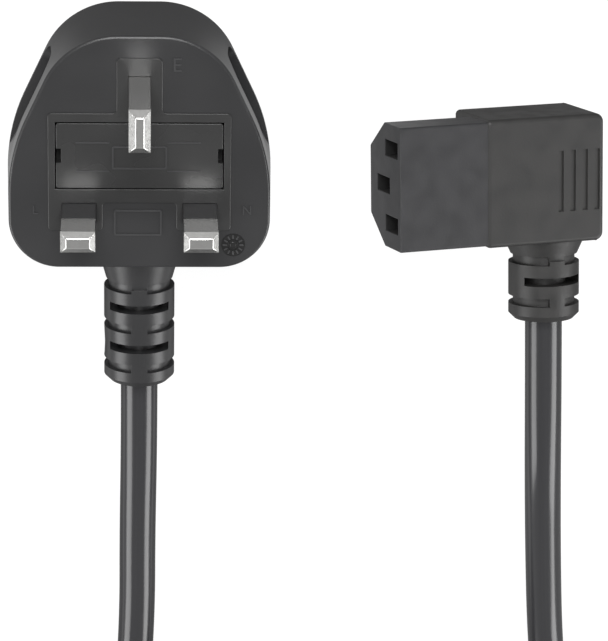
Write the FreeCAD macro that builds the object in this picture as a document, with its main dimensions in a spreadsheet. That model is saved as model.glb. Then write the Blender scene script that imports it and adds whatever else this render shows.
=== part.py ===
import FreeCAD, Part
import math
import os
import re
import Sketcher

# Moulded three pin plug with a lead and a right-angled appliance connector.
# The plug lies on its back with the pins up. X runs across it, +Y points from
# the lead towards the earth pin, and Z is 0 on the back face. The origin is
# midway between the earth pin and the line through the other two pins.
# All sizes are in millimetres and all angles in degrees.

SIZES = {
    # Plug body
    "body_depth": 20.5,         # back face to pin face
    "body_width": 48.2,         # across the flanks, at the pin face
    "crown_width": 26.8,        # flat top edge, before its corners are rounded
    "crown_reach": 22.6,        # origin to the top edge
    "shoulder_drop": 0.1,       # origin down to where the flanks turn parallel
    "foot_reach": 21.7,         # origin to the bottom edge
    "flank_draft": 2.2,         # the walls lean out towards the back
    "crown_draft": 5.5,
    "foot_draft": 1.7,
    "crown_radius": 15.0,
    "shoulder_radius": 35.0,
    "foot_radius": 9.3,
    "back_edge_radius": 2.2,
    "face_edge_radius": 0.6,
    # Finger grips in the two sloping flanks
    "grip_depth": 1.3,
    "grip_back_wall": 3.2,      # flange left behind the grip
    "grip_front_wall": 5.2,     # rim left in front of it
    "grip_top_margin": 5.6,     # from the crown corner down the flank
    "grip_end_radius": 4.2,
    # Flexible relief, the same design at both ends of the lead
    "lead_axis_height": 10.25,
    "relief_radius": 6.65,
    "relief_groove_radius": 5.8,    # floor of the grooves in the sides
    "relief_core_radius": 4.2,      # what the front and back windows leave
    "relief_neck_radius": 6.3,
    "relief_root_radius": 7.6,
    "relief_neck_length": 4.7,
    "relief_pitch": 3.94,
    "relief_slot": 1.6,
    "relief_bridge": 3.0,           # left in front and at the back by the grooves
    "relief_window_width": 11.0,
    "relief_last_ring": 3.0,
    "relief_end_radius": 1.1,
    "relief_anchor": 3.0,       # length sunk in the housing
    # Pins
    "pin_line_gap": 22.22,      # between the two current pins, and to the earth pin
    "earth_pin_thick": 4.0,
    "earth_pin_wide": 8.0,
    "earth_pin_length": 22.73,
    "current_pin_thick": 4.0,
    "current_pin_wide": 6.35,
    "current_pin_length": 17.7,
    "earth_tip_chamfer": 1.3,
    "current_tip_chamfer": 1.1,
    "pin_corner_radius": 0.3,
    "sleeve_length": 9.0,
    "sleeve_wall": 0.6,
    "sleeve_seat": 2.0,         # length of each sleeve held in the insert
    # Pin carrier, the rigid insert that holds the pins
    "insert_proud": 0.25,
    "insert_wall": 1.3,         # beyond each end of the fuse carrier's cavity
    "insert_top": 8.1,
    "insert_stem_width": 8.4,
    "insert_stem_top": 18.5,
    "insert_leg_inner": 6.8,
    "insert_bridge_bottom": 9.0,
    "insert_leg_bottom": 14.4,
    "insert_back": 9.0,         # height of the insert's inner end
    "insert_corner_radius": 0.8,
    # Fuse and its carrier
    "fuse_radius": 3.175,
    "fuse_length": 25.4,
    "fuse_cap_length": 6.2,
    "fuse_cap_wall": 0.35,
    "fuse_tube_wall": 1.1,
    "fuse_wire_radius": 0.15,
    "fuse_axis_depth": 6.3,     # below the insert's face
    "carrier_end": 1.45,        # plate beyond each post
    "carrier_width": 12.4,
    "carrier_gap": 0.2,
    "carrier_plate": 2.4,
    "carrier_cheek_gap": 1.3,   # from the cheeks to the fuse clips
    "carrier_cheek_wall": 1.3,
    "carrier_cheek_depth": 8.6,
    "carrier_post_wall": 1.0,
    "carrier_mouth_width": 5.1, # opening under the fuse, narrower than the fuse
    "carrier_corner_radius": 0.5,
    "notch_width": 0.9,
    "notch_height": 2.7,
    "notch_depth": 1.3,
    "fuse_play": 0.15,
    "fuse_foot_gap": 0.3,
    # Fuse clips and crimps
    "clip_metal": 0.8,
    "clip_length": 4.2,
    "clip_inset": 1.0,          # from the fuse's end to the clip
    "clip_jaw_height": 6.2,
    "clip_tail_outside": 0.59,  # from the line pin's axis to the tail's outer edge
    "clip_tail_margin": 0.7,    # from the insert's leg to the tail
    "crimp_width": 4.0,
    "crimp_length": 6.0,
    "crimp_height": 2.8,
    "wire_radius": 1.2,
    "wire_fan": 1.5,            # offset of each wire from the lead's axis
    # Lead
    "lead_radius": 3.5,
    "coil_mid_radius": 39.2,
    "coil_lanes": 4,
    "coil_centre_x": 39.5,
    "coil_centre_y": -168.0,
    "coil_corner_radius": 2.6,
    # Right-angled connector
    "socket_x": 75.6,           # where its lead axis meets the middle of its housing
    "socket_y": -5.75,
    "socket_z": 12.23,
    "socket_roll": 16.97,       # nose up, about the lead
    "socket_pitch": -8.0,       # the lead's end lifted
    "socket_turn": 1.29,        # about the vertical
    "housing_front": 14.74,     # lead axis to the shoulder behind the nose
    "housing_rear": 8.72,       # lead axis to the rear wall
    "housing_height": 23.9,
    "housing_thick": 16.3,
    "housing_edge_radius": 0.9,
    "housing_rear_radius": 1.6,
    "nose_length": 16.93,
    "nose_height": 23.1,
    "nose_thick": 15.7,
    "nose_chamfer_high": 5.2,
    "nose_chamfer_thick": 7.4,
    "nose_edge_radius": 0.5,
    "nose_root": 8.0,           # length of the insert inside the housing
    "slot_gap": 14.0,
    "slot_thick": 3.0,
    "slot_wide": 6.2,
    "slot_line_level": 3.1,
    "slot_earth_level": -1.0,
    "slot_depth": 17.0,
    "contact_metal": 0.4,
    "contact_play": 0.1,
    "contact_setback": 4.5,
    "contact_length": 10.5,
    "contact_tail_length": 11.5,
    "contact_tail_width": 2.0,
    "thumb_groove_length": 11.4,
    "thumb_groove_width": 1.0,
    "thumb_groove_depth": 0.7,
    "thumb_groove_pitch": 2.43,
    "thumb_groove_first": 0.0,  # from the lead's axis towards the rear
    "thumb_groove_middle": -0.25,
    "socket_neck_length": 2.9,
    "socket_last_ring": 3.0,
    "socket_straight": 14.0,    # the lead runs straight for this far out of its relief
}
PLUG_SLOTS = 5
SOCKET_SLOTS = 3
THUMB_GROOVES = 4

OVERCUT = "1.0"                 # how far a cutting block runs past what it cuts
NEAR = 0.01                     # for telling one edge or face from another
ARC_SHARE = 0.45                # share of the shorter run that an arc of a cord takes
MITRED = 1                      # the kind of sweep whose corners are mitred

doc = FreeCAD.newDocument("three_pin_plug")
sheet = doc.addObject("Spreadsheet::Sheet", "sizes")
for row, (alias, number) in enumerate(SIZES.items(), start=1):
    sheet.set("A%d" % row, alias)
    sheet.set("B%d" % row, str(number))
    sheet.setAlias("B%d" % row, alias)
doc.recompute()

# Levels that several pieces share, as rules on the sheet
FACE = "(body_depth + insert_proud)"
FUSE_LEVEL = "(body_depth + insert_proud - fuse_axis_depth)"
CLIP_FLOOR = "(%s - fuse_radius - fuse_foot_gap - clip_metal)" % FUSE_LEVEL
PIN_X = "(pin_line_gap / 2)"
HALF_FLANK = "(body_width / 2)"
FLANK_RUN = "((body_width - crown_width) / 2 / (crown_reach + shoulder_drop))"
CARRIER_HALF_LENGTH = "(fuse_length / 2 + fuse_play + carrier_post_wall + carrier_end)"
CAVITY_HALF_LENGTH = "(%s + carrier_gap)" % CARRIER_HALF_LENGTH
CAVITY_HALF_WIDTH = "(carrier_width / 2 + carrier_gap)"
INSERT_HALF_WIDTH = "(%s + insert_wall)" % CAVITY_HALF_LENGTH


def size(alias):
    """A driving dimension, read back from the sheet."""
    return float(sheet.get(alias))


def rule(words):
    """An expression with each sheet name made a reference to the sheet."""
    def reference(name):
        return "sizes." + name[0] if name[0] in SIZES else name[0]

    return re.sub(r"[a-z][a-z_]*", reference, str(words))


def bind(feature, rules):
    """Ties properties of a feature to the sheet."""
    for name, words in rules.items():
        feature.setExpression(name, rule(words))


def new_body(label):
    body = doc.addObject("PartDesign::Body", label)
    body.Label = label
    return body


def new_sketch(body, role, level):
    """An empty sketch on one of the body's own planes, moved along its normal."""
    sketch = body.newObject("Sketcher::SketchObject", "outline")
    plane = [item for item in body.Origin.OriginFeatures if item.Role == role][0]
    sketch.AttachmentSupport = [(plane, "")]
    sketch.MapMode = "FlatFace"
    bind(sketch, {"AttachmentOffset.Base.z": level})
    return sketch


def pin_down(sketch, item, point, x_rule, y_rule):
    """Fixes a point of the sketch by two distances from its origin."""
    place = sketch.getPoint(item, point)
    for kind, value, words in (("DistanceX", place.x, x_rule), ("DistanceY", place.y, y_rule)):
        number = sketch.addConstraint(Sketcher.Constraint(kind, -1, 1, item, point, value))
        sketch.setExpression("Constraints[%d]" % number, rule(words))


def draw_ring(sketch, corners):
    """A closed outline of straight sides through corners given as two rules each."""
    count = len(corners)
    spots = [FreeCAD.Vector(math.cos(2 * math.pi * k / count), math.sin(2 * math.pi * k / count), 0)
             for k in range(count)]
    first = sketch.GeometryCount
    for k in range(count):
        sketch.addGeometry(Part.LineSegment(spots[k], spots[(k + 1) % count]), False)
    for k in range(count):
        sketch.addConstraint(Sketcher.Constraint("Coincident", first + k, 2, first + (k + 1) % count, 1))
    for k, (x_rule, y_rule) in enumerate(corners):
        pin_down(sketch, first + k, 1, x_rule, y_rule)


def draw_circle(sketch, x_rule, y_rule, radius_rule):
    item = sketch.addGeometry(Part.Circle(FreeCAD.Vector(1, 1, 0), FreeCAD.Vector(0, 0, 1), 1.0), False)
    pin_down(sketch, item, 3, x_rule, y_rule)
    number = sketch.addConstraint(Sketcher.Constraint("Radius", item, 1.0))
    sketch.setExpression("Constraints[%d]" % number, rule(radius_rule))


def rectangle(x_low, x_high, y_low, y_high):
    return [(x_low, y_low), (x_high, y_low), (x_high, y_high), (x_low, y_high)]


def add_prism(body, kind, role, level, length, rings, back=False):
    """A pad or a pocket of straight-sided outlines, from a level along the plane's normal."""
    sketch = new_sketch(body, role, level)
    for corners in rings:
        draw_ring(sketch, corners)
    feature = body.newObject("PartDesign::" + kind, kind.lower())
    feature.Profile = sketch
    feature.Reversed = back
    bind(feature, {"Length": length})
    doc.recompute()
    return feature


def middle(edge):
    return edge.valueAt((edge.FirstParameter + edge.LastParameter) / 2)


def along(edge, axis):
    """Whether a straight edge runs nearly along an axis."""
    span = edge.valueAt(edge.LastParameter) - edge.valueAt(edge.FirstParameter)
    return edge.Curve.TypeId == "Part::GeomLine" and abs(span.normalize().dot(axis)) > 1 - 2 * NEAR


def ease(body, kind, amount, wanted):
    """Fillets or chamfers those edges of the body's last feature that pass a test."""
    last = body.Tip
    names = ["Edge%d" % number for number, edge in enumerate(last.Shape.Edges, start=1) if wanted(edge)]
    feature = body.newObject("PartDesign::" + kind, kind.lower())
    feature.Base = (last, names)
    bind(feature, {"Radius" if kind == "Fillet" else "Size": amount})
    doc.recompute()
    return feature


def block(label, low, high):
    """A box between two corners, each given as three rules."""
    box = doc.addObject("Part::Box", label)
    box.Label = label
    for side, axis, start, end in zip(("Length", "Width", "Height"), "xyz", low, high):
        bind(box, {side: "(%s) - (%s)" % (end, start), "Placement.Base." + axis: start})
    return box


TURNS = {
    "x": FreeCAD.Rotation(FreeCAD.Vector(0, 1, 0), 90),
    "y": FreeCAD.Rotation(FreeCAD.Vector(1, 0, 0), -90),
    "z": FreeCAD.Rotation(),
}


def rod(label, radius, length, start, axis):
    """A round bar from a point given as three rules, in the direction of +X, +Y or +Z."""
    bar = doc.addObject("Part::Cylinder", label)
    bar.Label = label
    bar.Placement.Rotation = TURNS[axis]
    bind(bar, {"Radius": radius, "Height": length})
    for name, words in zip("xyz", start):
        bind(bar, {"Placement.Base." + name: words})
    return bar


def fused(label, parts):
    whole = doc.addObject("Part::MultiFuse", label)
    whole.Label = label
    whole.Shapes = parts
    doc.recompute()
    return whole


def less(label, base, tool):
    rest = doc.addObject("Part::Cut", label)
    rest.Label = label
    rest.Base = base
    rest.Tool = tool
    doc.recompute()
    return rest


def shared(label, base, tool):
    both = doc.addObject("Part::Common", label)
    both.Label = label
    both.Base = base
    both.Tool = tool
    doc.recompute()
    return both


def rounded_path(points):
    """Straight runs joined by tangent arcs, and the radii of those arcs."""
    corners = [FreeCAD.Vector(*point) for point in points]
    edges = []
    radii = []
    start = corners[0]
    for before, here, after in zip(corners, corners[1:], corners[2:]):
        back = before - here
        ahead = after - here
        shorter = min(back.Length, ahead.Length)
        back.normalize()
        ahead.normalize()
        turn = math.pi - back.getAngle(ahead)
        reach = ARC_SHARE * shorter
        radii.append(reach / math.tan(turn / 2))
        bisector = (back + ahead).normalize()
        inset = radii[-1] * (1 / math.cos(turn / 2) - 1)
        enter = here + back * reach
        leave = here + ahead * reach
        edges.append(Part.LineSegment(start, enter).toShape())
        edges.append(Part.Arc(enter, here + bisector * inset, leave).toShape())
        start = leave
    edges.append(Part.LineSegment(start, corners[-1]).toShape())
    return Part.Wire(edges), radii


def tube_along(points, radius):
    """A round tube along a rounded path."""
    path = rounded_path(points)[0]
    first, second = (FreeCAD.Vector(*point) for point in points[:2])
    ring = Part.Wire([Part.Circle(first, (second - first).normalize(), radius).toShape()])
    return path.makePipeShell([ring], True, False)


def core_along(points):
    """One core of the lead, buried in a moulding: straight runs with mitred bends."""
    path = Part.makePolygon([FreeCAD.Vector(*point) for point in points])
    first, second = (FreeCAD.Vector(*point) for point in points[:2])
    ring = Part.Wire([Part.Circle(first, (second - first).normalize(), size("wire_radius")).toShape()])
    return path.makePipeShell([ring], True, False, MITRED)


def plain_piece(label, shape, placement=FreeCAD.Placement()):
    """A piece whose form is a swept path, set from points read off the sheet."""
    piece = doc.addObject("Part::Feature", label)
    piece.Label = label
    piece.Shape = shape
    piece.Placement = placement
    return piece


# Flexible relief: a turned sleeve cut in turn by a groove round each side and by windows
# from front and back. The windows run on past the core on both sides.

def relief(label, neck, slots, last_ring):
    """The sleeve runs from y = 0 towards -Y on the Y axis, with its anchor on the +Y side."""
    first = "-(%s)" % neck
    end = "(%s - %d * relief_pitch - relief_slot - %s)" % (first, slots - 1, last_ring)
    body = new_body(label + "_sleeve")
    sketch = new_sketch(body, "XY_Plane", "0")
    draw_ring(sketch, [
        ("0", "relief_anchor"),
        ("relief_root_radius", "relief_anchor"),
        ("relief_root_radius", "0"),
        ("relief_neck_radius", first),
        ("relief_neck_radius", "%s - relief_slot / 2" % first),
        ("relief_radius", "%s - relief_slot / 2" % first),
        ("relief_radius", "%s + relief_end_radius" % end),
        ("relief_radius - relief_end_radius", end),
        ("0", end),
    ])
    turned = body.newObject("PartDesign::Revolution", "turned")
    turned.Profile = sketch
    turned.ReferenceAxis = (sketch, ["V_Axis"])
    turned.Angle = 360
    doc.recompute()
    cutters = []
    for number in range(slots):
        top = "(%s - %d * relief_pitch)" % (first, number)
        low = "(%s - relief_slot)" % top
        grooved = number % 2 == 0
        washer = new_body("%s_slot_%d" % (label, number))
        sketch = new_sketch(washer, "XZ_Plane", "-%s" % top)
        draw_circle(sketch, "0", "0", "relief_radius + " + OVERCUT)
        draw_circle(sketch, "0", "0", "relief_groove_radius" if grooved else "relief_core_radius")
        pad = washer.newObject("PartDesign::Pad", "pad")
        pad.Profile = sketch
        bind(pad, {"Length": "relief_slot"})
        doc.recompute()
        half = "(relief_bridge / 2)" if grooved else "(relief_window_width / 2)"
        wide = "(relief_radius + 2 * %s)" % OVERCUT
        middle_block = block("%s_middle_%d" % (label, number),
                             ("-" + half, "%s - %s" % (low, OVERCUT), "-" + wide),
                             (half, "%s + %s" % (top, OVERCUT), wide))
        combine = less if grooved else shared
        cutters.append(combine("%s_cut_%d" % (label, number), washer, middle_block))
    return less(label, body, fused(label + "_slots", cutters))


# Plug body: a wedge-sided block, wider at the back, with a finger grip in each sloping flank

def flank_x(y_rule, spread):
    """X of the sloping flank at a height, moved out by a spread."""
    return "%s + %s - ((%s) + shoulder_drop) * %s" % (HALF_FLANK, spread, y_rule, FLANK_RUN)


shell = new_body("plug_shell")
right_half = [
    (HALF_FLANK, "-foot_reach"),
    (HALF_FLANK, "-shoulder_drop"),
    ("crown_width / 2", "crown_reach"),
]
left_half = [("-(%s)" % x_rule, y_rule) for x_rule, y_rule in reversed(right_half)]
add_prism(shell, "Pad", "XY_Plane", "0", "body_depth", [right_half + left_half])


def lean(body, angle, wanted):
    """Leans out those walls whose normals pass a test, about the pin face."""
    last = body.Tip
    faces = last.Shape.Faces
    walls = ["Face%d" % number for number, face in enumerate(faces, start=1) if wanted(face.normalAt(0, 0))]
    top = max(range(len(faces)), key=lambda number: faces[number].CenterOfMass.z)
    feature = body.newObject("PartDesign::Draft", "draft")
    feature.Base = (last, walls)
    feature.NeutralPlane = (last, ["Face%d" % (top + 1)])
    bind(feature, {"Angle": angle})
    doc.recompute()


lean(shell, "flank_draft", lambda normal: abs(normal.x) > 0.5)
lean(shell, "crown_draft", lambda normal: normal.y > 0.99)
lean(shell, "foot_draft", lambda normal: normal.y < -0.99)


def upright(edge):
    """Whether an edge runs from the back to the pin face."""
    rise = edge.valueAt(edge.FirstParameter).z - edge.valueAt(edge.LastParameter).z
    return abs(rise) > size("body_depth") / 2


crown_line = size("crown_reach") / 2
foot_line = -size("foot_reach") / 2
shoulder_band = size("crown_reach") / 4
ease(shell, "Fillet", "crown_radius", lambda edge: upright(edge) and middle(edge).y > crown_line)
ease(shell, "Fillet", "shoulder_radius", lambda edge: upright(edge)
     and abs(middle(edge).y + size("shoulder_drop")) < shoulder_band)
ease(shell, "Fillet", "foot_radius", lambda edge: upright(edge) and middle(edge).y < foot_line
     and along(edge, FreeCAD.Vector(0, 0, 1)))
ease(shell, "Fillet", "back_edge_radius", lambda edge: middle(edge).z < NEAR)
ease(shell, "Fillet", "face_edge_radius", lambda edge: middle(edge).z > size("body_depth") - NEAR)

# Each grip is a recess with a flat floor behind the flank. Its corners are points
# on the flank's line, moved in by the depth and out well past the wall. Its lower
# end lies past the place where the floor runs out through the upright flank.
NORMAL = "sqrt(1 + %s * %s)" % (FLANK_RUN, FLANK_RUN)
GRIP_SPREAD = "(body_depth / 2 * tan(flank_draft))"
GRIP_TOP = "(crown_reach - grip_top_margin)"
GRIP_LOW = "(-shoulder_drop - 3 * grip_depth * %s / %s)" % (NORMAL, FLANK_RUN)
GRIP_OUT = "(5 * grip_depth)"


def grip_corner(y_rule, out):
    """A point at a distance from the flank's line, square to it from a height on it."""
    return ("%s + (%s) / %s" % (flank_x(y_rule, GRIP_SPREAD), out, NORMAL),
            "(%s) + (%s) * %s / %s" % (y_rule, out, FLANK_RUN, NORMAL))


GRIP_SIDE = [
    grip_corner(GRIP_LOW, "-grip_depth"),
    grip_corner(GRIP_LOW, GRIP_OUT),
    grip_corner(GRIP_TOP, GRIP_OUT),
    grip_corner(GRIP_TOP, "-grip_depth"),
]
flank_run = (size("body_width") - size("crown_width")) / 2 / (size("crown_reach") + size("shoulder_drop"))
grips = []
for hand, sign in (("left", "-"), ("right", "")):
    grip = new_body(hand + "_grip")
    add_prism(grip, "Pad", "XY_Plane", "grip_back_wall", "body_depth - grip_front_wall - grip_back_wall",
              [[("%s(%s)" % (sign, x_rule), y_rule) for x_rule, y_rule in GRIP_SIDE]])
    outward = FreeCAD.Vector(-1 if sign else 1, flank_run, 0).normalize()
    ease(grip, "Fillet", "grip_end_radius", lambda edge: along(edge, outward) and middle(edge).y > 0)
    grips.append(grip)
gripped_shell = less("plug_gripped_shell", shell, fused("plug_grips", grips))

plug_relief = relief("plug_relief", "relief_neck_length", PLUG_SLOTS, "relief_last_ring")
FOOT_WALL = "(foot_reach + (body_depth - lead_axis_height) * tan(foot_draft))"
bind(plug_relief, {"Placement.Base.y": "-" + FOOT_WALL, "Placement.Base.z": "lead_axis_height"})

# Pin carrier: a T-shaped insert on two legs

INSERT_OUTLINE = [
    (INSERT_HALF_WIDTH, "-insert_leg_bottom"),
    (INSERT_HALF_WIDTH, "insert_top"),
    ("insert_stem_width / 2", "insert_top"),
    ("insert_stem_width / 2", "insert_stem_top"),
    ("-insert_stem_width / 2", "insert_stem_top"),
    ("-insert_stem_width / 2", "insert_top"),
    ("-" + INSERT_HALF_WIDTH, "insert_top"),
    ("-" + INSERT_HALF_WIDTH, "-insert_leg_bottom"),
    ("-insert_leg_inner", "-insert_leg_bottom"),
    ("-insert_leg_inner", "-insert_bridge_bottom"),
    ("insert_leg_inner", "-insert_bridge_bottom"),
    ("insert_leg_inner", "-insert_leg_bottom"),
]


def insert_block(label):
    """The insert's solid outline with its rounded upright corners."""
    body = new_body(label)
    add_prism(body, "Pad", "XY_Plane", "insert_back", "%s - insert_back" % FACE, [INSERT_OUTLINE])
    ease(body, "Fillet", "insert_corner_radius", lambda edge: along(edge, FreeCAD.Vector(0, 0, 1)))
    return body


PINS = {
    "earth_pin": ("0", PIN_X, "earth_pin_thick", "earth_pin_wide", "earth_pin_length", "earth_tip_chamfer"),
    "line_pin": ("-" + PIN_X, "-" + PIN_X, "current_pin_wide", "current_pin_thick", "current_pin_length",
                 "current_tip_chamfer"),
    "neutral_pin": (PIN_X, "-" + PIN_X, "current_pin_wide", "current_pin_thick", "current_pin_length",
                    "current_tip_chamfer"),
}


def pin_section(name, inset="0"):
    """The pin's rectangle, made smaller all round by an inset."""
    x_mid, y_mid, x_size, y_size = PINS[name][:4]
    half_x = "(%s / 2 - %s)" % (x_size, inset)
    half_y = "(%s / 2 - %s)" % (y_size, inset)
    return rectangle("%s - %s" % (x_mid, half_x), "%s + %s" % (x_mid, half_x),
                     "%s - %s" % (y_mid, half_y), "%s + %s" % (y_mid, half_y))


def pin_foot(name):
    """Height of a pin's inner end: the line pin stands on the fuse clip's tail."""
    return "(%s + clip_metal)" % CLIP_FLOOR if name == "line_pin" else "insert_back"


holder = insert_block("pin_carrier_block")
add_prism(holder, "Pocket", "XY_Plane", FACE, "%s - %s" % (FACE, CLIP_FLOOR), [
    rectangle("-" + CAVITY_HALF_LENGTH, CAVITY_HALF_LENGTH, "-" + CAVITY_HALF_WIDTH, CAVITY_HALF_WIDTH),
])


def outer_corner(name):
    """A test for the upright edges at the corners of a pin's full section."""
    signs = {"earth_pin": (0, 1), "line_pin": (-1, -1), "neutral_pin": (1, -1)}[name]
    centre = FreeCAD.Vector(*(sign * size("pin_line_gap") / 2 for sign in signs))
    corner = math.hypot(size(PINS[name][2]) / 2, size(PINS[name][3]) / 2)

    def test(edge):
        place = middle(edge)
        return (along(edge, FreeCAD.Vector(0, 0, 1))
                and abs(math.hypot(place.x - centre.x, place.y - centre.y) - corner) < NEAR)

    return test


for name in PINS:
    shank = pin_section(name, "0" if name == "earth_pin" else "sleeve_wall")
    add_prism(holder, "Pocket", "XY_Plane", FACE, "%s - %s" % (FACE, pin_foot(name)), [shank])
    if name != "earth_pin":
        add_prism(holder, "Pocket", "XY_Plane", FACE, "sleeve_seat", [pin_section(name)])
        ease(holder, "Fillet", "pin_corner_radius", outer_corner(name))

# Pins, and the sleeves on the two current pins, which start inside the insert

pins = []
sleeves = []
for name, (x_mid, y_mid, x_size, y_size, length, chamfer) in PINS.items():
    pin = new_body(name)
    foot = pin_foot(name)
    tip = "(%s + %s)" % (FACE, length)
    if name == "earth_pin":
        add_prism(pin, "Pad", "XY_Plane", foot, "%s - %s" % (tip, foot), [pin_section(name)])
    else:
        sleeve_end = "(%s + sleeve_length)" % FACE
        add_prism(pin, "Pad", "XY_Plane", sleeve_end, "%s - %s" % (tip, sleeve_end), [pin_section(name)])
        add_prism(pin, "Pad", "XY_Plane", foot, "%s - %s" % (sleeve_end, foot),
                  [pin_section(name, "sleeve_wall")])
        sleeve = new_body(name + "_sleeve")
        add_prism(sleeve, "Pad", "XY_Plane", "%s - sleeve_seat" % FACE, "sleeve_length + sleeve_seat",
                  [pin_section(name), pin_section(name, "sleeve_wall")])
        ease(sleeve, "Fillet", "pin_corner_radius", outer_corner(name))
        sleeves.append(sleeve)
    top = size("body_depth") + size("insert_proud") + size(length)
    ease(pin, "Chamfer", chamfer, lambda edge: middle(edge).z > top - NEAR)
    pins.append(pin)

# Fuse clips: a base with two jaws under each cap. The line clip has a tail under
# the line pin, and the supply clip has a leg down to its crimp.

CLIP_TOP = "(%s + clip_metal)" % CLIP_FLOOR
JAW_INNER = "(fuse_radius + fuse_play)"
JAW_OUTER = "(fuse_radius + fuse_play + clip_metal)"
CRIMP_FLOOR = "(insert_back - crimp_height)"


def clip_span(side):
    """Low and high X of the clip on one side of the fuse's middle."""
    far = "(fuse_length / 2 - clip_inset)"
    near = "(%s - clip_length)" % far
    return (near, far) if side > 0 else ("-" + far, "-" + near)


def clip_parts(label, side):
    low, high = clip_span(side)
    jaw_top = "%s + clip_jaw_height" % CLIP_FLOOR
    return [
        block(label + "_base", (low, "-" + JAW_OUTER, CLIP_FLOOR), (high, JAW_OUTER, CLIP_TOP)),
        block(label + "_jaw_low", (low, "-" + JAW_OUTER, CLIP_FLOOR), (high, "-" + JAW_INNER, jaw_top)),
        block(label + "_jaw_high", (low, JAW_INNER, CLIP_FLOOR), (high, JAW_OUTER, jaw_top)),
    ]


line_tail = block("line_clip_tail",
                  ("-(%s + clip_tail_outside)" % PIN_X,
                   "-%s - current_pin_thick / 2 + sleeve_wall" % PIN_X, CLIP_FLOOR),
                  ("-(insert_leg_inner + clip_tail_margin)", "-" + JAW_OUTER, CLIP_TOP))
line_clip = fused("line_fuse_clip", clip_parts("line_clip", -1) + [line_tail])

leg_low, leg_high = clip_span(1)
LEG_X = "((%s + %s) / 2)" % (leg_low, leg_high)
supply_leg = block("supply_clip_leg", ("%s - clip_metal / 2" % LEG_X, "-crimp_width / 2", "insert_back"),
                   ("%s + clip_metal / 2" % LEG_X, "crimp_width / 2", CLIP_FLOOR))


def crimp_block(label, x_mid, y_mid):
    """A crimp barrel whose top meets what it is fastened to."""
    return block(label, ("%s - crimp_width / 2" % x_mid, "%s - crimp_length / 2" % y_mid, CRIMP_FLOOR),
                 ("%s + crimp_width / 2" % x_mid, "%s + crimp_length / 2" % y_mid, "insert_back"))


supply_crimp = crimp_block("supply_clip_crimp", LEG_X, "0")
supply_clip = fused("supply_fuse_clip", clip_parts("supply_clip", 1) + [supply_leg, supply_crimp])
earth_crimp = crimp_block("earth_crimp", "0", PIN_X)
neutral_crimp = crimp_block("neutral_crimp", PIN_X, "-" + PIN_X)

pin_carrier = less("pin_carrier", holder, fused("carrier_passages", [line_tail, supply_leg]))

# Fuse carrier: a plate flush with the insert, a cradle of two cheeks under its
# middle, a post behind each end of the fuse, and a prising notch at each end

plate = new_body("carrier_plate_block")
PLATE_BACK = "(%s - carrier_plate)" % FACE
add_prism(plate, "Pad", "XY_Plane", PLATE_BACK, "carrier_plate", [
    rectangle("-" + CARRIER_HALF_LENGTH, CARRIER_HALF_LENGTH, "-carrier_width / 2", "carrier_width / 2"),
])
ease(plate, "Fillet", "carrier_corner_radius", lambda edge: along(edge, FreeCAD.Vector(0, 0, 1)))
add_prism(plate, "Pocket", "XY_Plane", FACE, "notch_depth", [
    rectangle(CARRIER_HALF_LENGTH + " - notch_width", "%s + %s" % (CARRIER_HALF_LENGTH, OVERCUT),
              "-notch_height / 2", "notch_height / 2"),
    rectangle("-%s - %s" % (CARRIER_HALF_LENGTH, OVERCUT), "notch_width - " + CARRIER_HALF_LENGTH,
              "-notch_height / 2", "notch_height / 2"),
])
CHEEK_HALF_LENGTH = "(fuse_length / 2 - clip_inset - clip_length - carrier_cheek_gap)"
CHEEK_OUTER = "(%s + carrier_cheek_wall)" % JAW_INNER
CHEEK_FLOOR = "(%s - carrier_cheek_depth)" % FACE
cradle = block("carrier_cradle", ("-" + CHEEK_HALF_LENGTH, "-" + CHEEK_OUTER, CHEEK_FLOOR),
               (CHEEK_HALF_LENGTH, CHEEK_OUTER, PLATE_BACK))
POST_NEAR = "(fuse_length / 2 + fuse_play)"
posts = [
    block("carrier_post_" + end, (start, "-fuse_radius", FUSE_LEVEL), (stop, "fuse_radius", PLATE_BACK))
    for end, start, stop in (("line", "-%s - carrier_post_wall" % POST_NEAR, "-" + POST_NEAR),
                             ("supply", POST_NEAR, "%s + carrier_post_wall" % POST_NEAR))
]
fuse_room = rod("carrier_fuse_room", JAW_INNER, "fuse_length + 2 * fuse_play",
                ("-" + POST_NEAR, "0", FUSE_LEVEL), "x")
mouth = block("carrier_mouth",
              ("-%s - %s" % (CHEEK_HALF_LENGTH, OVERCUT), "-carrier_mouth_width / 2",
               "%s - %s" % (CHEEK_FLOOR, OVERCUT)),
              ("%s + %s" % (CHEEK_HALF_LENGTH, OVERCUT), "carrier_mouth_width / 2", FUSE_LEVEL))
fuse_carrier = less("fuse_carrier", fused("carrier_solid", [plate, cradle] + posts),
                    fused("carrier_hollow", [fuse_room, mouth]))

# Fuse: a ceramic tube between two caps, with its element in sand

TUBE_RADIUS = "(fuse_radius - fuse_cap_wall)"
BORE_RADIUS = "(%s - fuse_tube_wall)" % TUBE_RADIUS
TUBE_START = ("fuse_cap_wall - fuse_length / 2", "0", FUSE_LEVEL)
TUBE_LENGTH = "fuse_length - 2 * fuse_cap_wall"


def fuse_layer(label, radius):
    return rod(label, radius, TUBE_LENGTH, TUBE_START, "x")


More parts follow.
